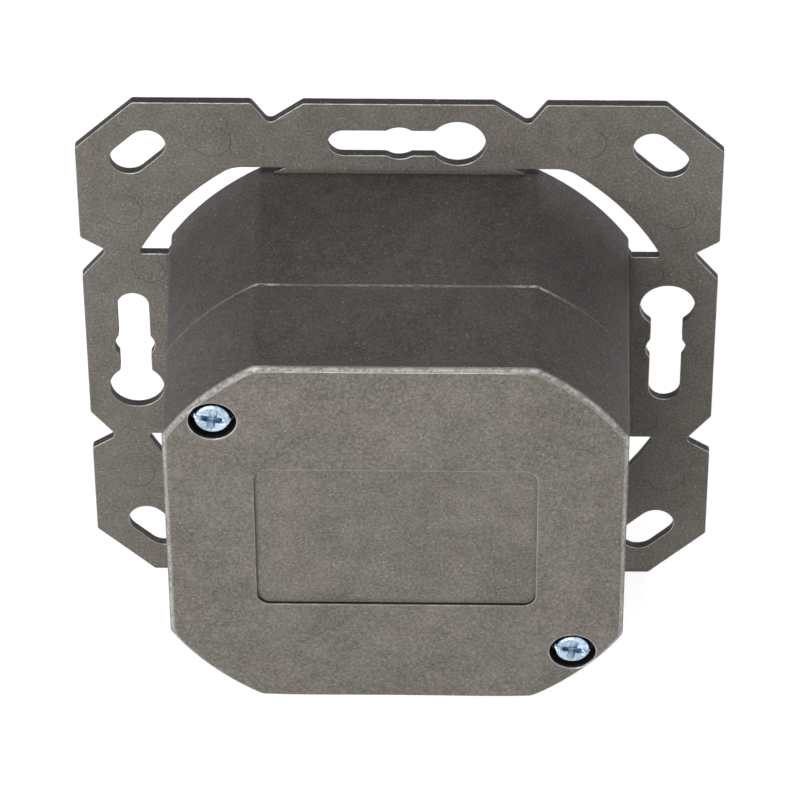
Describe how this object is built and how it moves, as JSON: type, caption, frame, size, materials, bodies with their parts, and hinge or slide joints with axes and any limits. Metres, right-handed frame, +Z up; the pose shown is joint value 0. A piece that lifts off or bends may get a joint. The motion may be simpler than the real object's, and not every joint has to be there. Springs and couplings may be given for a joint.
{
  "type": "ethernet wall socket",
  "caption": "Shielded flush network wall socket: die-cast square mounting frame with keyholes, deep rear housing and slanted jack ports.",
  "frame": {"origin": "centre of the mounting frame's rear face, in the wall plane", "axes": "+Y into the wall, -Y into the room, +Z up, +X to the right as seen from the room"},
  "size_m": [0.071, 0.0425, 0.071],
  "materials": {
    "cast_zinc": "grainy as-cast zinc",
    "zinc_plated_steel": "blue-passivated zinc plating",
    "board_laminate": "solder-masked glass laminate",
    "clamp_steel": "bent sheet steel",
    "clear_film": "thin satin film",
    "black_plastic": "moulded matt",
    "gold_plated_contact": "gold plated",
    "nickel_sheet": "nickel-plated sheet",
    "white_plastic": "moulded satin",
    "tinned_contact": "tinned bronze"
  },
  "bodies": {
    "root": {"front_housing": "cast_zinc", "rear_cover": "cast_zinc", "cover_screws": "zinc_plated_steel", "circuit_board": "board_laminate", "board_screws": "zinc_plated_steel", "cable_clamp": "clamp_steel", "clamp_screws": "zinc_plated_steel", "insulating_film": "clear_film", "left_jack_housing": "black_plastic", "left_jack_insert": "black_plastic", "left_jack_contacts": "gold_plated_contact", "left_jack_shield": "nickel_sheet", "left_idc_block": "white_plastic", "left_idc_contacts": "tinned_contact", "right_jack_housing": "black_plastic", "right_jack_insert": "black_plastic", "right_jack_contacts": "gold_plated_contact", "right_jack_shield": "nickel_sheet", "right_idc_block": "white_plastic", "right_idc_contacts": "tinned_contact"}
  },
  "joints": []
}
